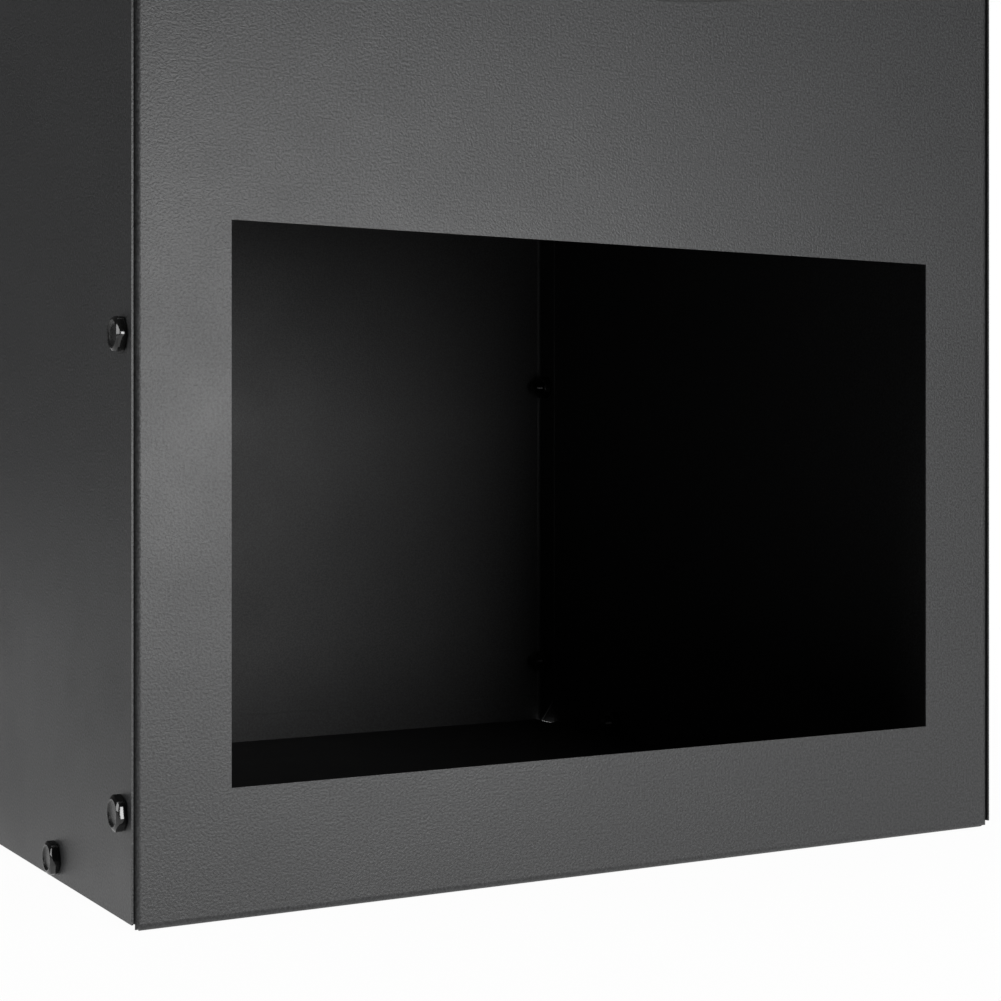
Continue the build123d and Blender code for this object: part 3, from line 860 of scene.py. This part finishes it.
class FIREPLACE_OT_seam(bpy.types.Operator):
    """Weld the seam down the back of the flue pipe"""

    bl_idname = "fireplace.seam"
    bl_label = "Weld the pipe's seam"

    def execute(self, context):
        seam = context.scene.fireplace_seam
        wall, runs = seam_runs(seam)
        work = bmesh.new()
        for start, end in runs:
            bead = weld_mesh("seam_run", seam.width, end - start, seam.ripple)
            flat = Matrix.Diagonal((2 * seam.rise / seam.width, 1, 1, 1))
            outward = Matrix.Translation((wall, 0, (start + end) / 2))
            bead.transform(Matrix.Rotation(seam.angle, 4, "Z") @ outward @ flat)
            work.from_mesh(bead)
            bpy.data.meshes.remove(bead)
        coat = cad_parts["flue_pipe"].data.materials[0]
        finished_piece("flue_pipe_seam", work, (coat,), BODY)
        return {"FINISHED"}


class FIREPLACE_OT_grate(bpy.types.Operator):
    """Paint the grate and the ash pan and add the grate's welds"""

    bl_idname = "fireplace.grate"
    bl_label = "Finish the grate"

    def execute(self, context):
        grate = context.scene.fireplace_grate
        paint = stove_paint(grate)
        for node in GRATE_NODES:
            dress_node(node, paint)
        dress_node(PAN_NODE, pan_enamel(grate))
        bead = weld_mesh("weld_bead", grate.bead_width, grate.bead_length, grate.ripple)
        work = placed_copies(bead, grate_weld_places(grate))
        bpy.data.meshes.remove(bead)
        finished_piece("grate_weld_beads", work, (paint,), GRATE)
        return {"FINISHED"}


def white_share(tree, gloss_share):
    """One for camera and transmission rays, and the gloss share for glossy ones."""
    path = add_node(tree, "ShaderNodeLightPath")
    gloss = add_node(
        tree, "ShaderNodeMath", {0: path.outputs["Is Glossy Ray"], 1: gloss_share}, operation="MULTIPLY"
    )
    seen = add_node(
        tree, "ShaderNodeMath",
        {0: path.outputs["Is Camera Ray"], 1: path.outputs["Is Transmission Ray"]}, operation="MAXIMUM",
    )
    return add_node(
        tree, "ShaderNodeMath", {0: seen.outputs["Value"], 1: gloss.outputs["Value"]}, operation="MAXIMUM"
    ).outputs["Value"]


def studio_world(stage):
    """White room to the camera, dim room light on the object."""
    world = bpy.data.worlds.new("studio")
    world.use_nodes = True
    tree = world.node_tree
    tree.nodes.clear()
    room = add_node(tree, "ShaderNodeBackground", {"Color": (1, 1, 1, 1), "Strength": stage.ambient})
    white = add_node(tree, "ShaderNodeBackground", {"Color": (1, 1, 1, 1), "Strength": 1})
    mixed = add_node(
        tree, "ShaderNodeMixShader",
        {0: white_share(tree, stage.gloss_share), 1: room.outputs[0], 2: white.outputs[0]},
    )
    add_node(tree, "ShaderNodeOutputWorld", {"Surface": mixed.outputs[0]})
    bpy.context.scene.world = world


def floor_material(stage):
    """Pale paper floor that keeps a soft shadow near the object and is white beyond."""
    material, tree = new_material("pale_studio_floor")
    place = add_node(tree, "ShaderNodeTexCoord").outputs["Object"]
    distance = add_node(tree, "ShaderNodeVectorMath", {0: place}, operation="LENGTH")
    far = add_node(
        tree, "ShaderNodeMapRange",
        {
            "Value": distance.outputs["Value"], "From Min": stage.shadow_start,
            "From Max": stage.shadow_reach, "To Min": stage.near_white_share, "To Max": 1,
        },
    )
    # Gloss shows the paper just in front of the object, where the camera's side is lit
    ahead = add_node(
        tree, "ShaderNodeVectorMath", {0: place, 1: stage.lit_paper[:]}, operation="DISTANCE"
    )
    near_gloss = add_node(
        tree, "ShaderNodeMapRange",
        {
            "Value": ahead.outputs["Value"], "From Min": stage.lit_start, "From Max": stage.lit_reach,
            "To Min": stage.floor_gloss_share, "To Max": 0,
        },
    )
    share = add_node(
        tree, "ShaderNodeMath",
        {0: white_share(tree, near_gloss.outputs["Result"]), 1: far.outputs["Result"]}, operation="MULTIPLY",
    )
    paper = add_node(tree, "ShaderNodeBsdfDiffuse", {"Color": rgba(stage.paper)})
    white = add_node(tree, "ShaderNodeEmission", {"Color": (1, 1, 1, 1), "Strength": 1})
    mixed = add_node(
        tree, "ShaderNodeMixShader", {0: share.outputs["Value"], 1: paper.outputs[0], 2: white.outputs[0]}
    )
    add_node(tree, "ShaderNodeOutputMaterial", {"Surface": mixed.outputs[0]})
    return material


def softbox(name, place, aim, width, height, power):
    """Rectangular soft lamp at a place, turned to face its aim."""
    light = bpy.data.lights.new(name, "AREA")
    light.shape = "RECTANGLE"
    light.size = width
    light.size_y = height
    light.energy = power
    lamp = bpy.data.objects.new(name, light)
    lamp.location = place
    lamp.rotation_euler = (Vector(aim) - Vector(place)).to_track_quat("-Z", "Y").to_euler()
    bpy.context.scene.collection.objects.link(lamp)


class FIREPLACE_OT_stage(bpy.types.Operator):
    """Set up the floor, the lamps and the camera"""

    bl_idname = "fireplace.stage"
    bl_label = "Set up the studio"

    def execute(self, context):
        stage = context.scene.fireplace_stage
        work = bmesh.new()
        bmesh.ops.create_grid(work, x_segments=1, y_segments=1, size=stage.floor_size / 2)
        mesh = bpy.data.meshes.new("studio_floor")
        work.to_mesh(mesh)
        work.free()
        mesh.materials.append(floor_material(stage))
        floor = bpy.data.objects.new("studio_floor", mesh)
        context.scene.collection.objects.link(floor)
        studio_world(stage)
        softbox("key", *KEY_BOX, stage.key_power)
        softbox("top", *TOP_BOX, stage.top_power)
        softbox("left", *LEFT_BOX, stage.side_power)
        softbox("right", *RIGHT_BOX, stage.side_power)
        softbox("back", *BACK_BOX, stage.back_power)
        data = bpy.data.cameras.new("camera")
        data.sensor_width = stage.sensor
        data.lens = stage.lens
        data.shift_y = stage.shift
        data.clip_start = NEAREST_SEEN
        camera = bpy.data.objects.new("camera", data)
        camera.location = (-stage.camera_side, -stage.camera_back, stage.camera_height)
        camera.rotation_euler = (math.radians(90), 0, -stage.camera_turn)
        context.scene.collection.objects.link(camera)
        context.scene.camera = camera
        context.scene.view_settings.view_transform = "Standard"
        return {"FINISHED"}


class FIREPLACE_PT_panel(bpy.types.Panel):
    """Lists the steps and their settings"""

    bl_label = "Fireplace"
    bl_idname = "FIREPLACE_PT_panel"
    bl_space_type = "VIEW_3D"
    bl_region_type = "UI"
    bl_category = "Fireplace"

    def draw(self, context):
        for step, group in STEPS:
            settings = getattr(context.scene, group)
            box = self.layout.box()
            box.operator(step.bl_idname)
            for name in settings.__annotations__:
                box.prop(settings, name)


GROUPS = {
    "fireplace_coat": CoatSettings,
    "fireplace_fastener": FastenerSettings,
    "fireplace_seam": SeamSettings,
    "fireplace_grate": GrateSettings,
    "fireplace_stage": StageSettings,
}
STEPS = (
    (FIREPLACE_OT_coat, "fireplace_coat"),
    (FIREPLACE_OT_fasteners, "fireplace_fastener"),
    (FIREPLACE_OT_seam, "fireplace_seam"),
    (FIREPLACE_OT_grate, "fireplace_grate"),
    (FIREPLACE_OT_stage, "fireplace_stage"),
)


def register():
    """Register the settings, the steps and the panel."""
    for group in GROUPS.values():
        bpy.utils.register_class(group)
    for step, _ in STEPS:
        bpy.utils.register_class(step)
    bpy.utils.register_class(FIREPLACE_PT_panel)
    for name, group in GROUPS.items():
        setattr(bpy.types.Scene, name, bpy.props.PointerProperty(type=group))


def unregister():
    """Take the panel, the steps and the settings away again."""
    for name in GROUPS:
        delattr(bpy.types.Scene, name)
    bpy.utils.unregister_class(FIREPLACE_PT_panel)
    for step, _ in reversed(STEPS):
        bpy.utils.unregister_class(step)
    for group in reversed(GROUPS.values()):
        bpy.utils.unregister_class(group)


def main():
    """Run every step in order."""
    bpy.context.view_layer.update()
    register()
    bpy.ops.fireplace.coat()
    bpy.ops.fireplace.fasteners()
    bpy.ops.fireplace.seam()
    bpy.ops.fireplace.grate()
    bpy.ops.fireplace.stage()


if __name__ == "__main__":
    main()
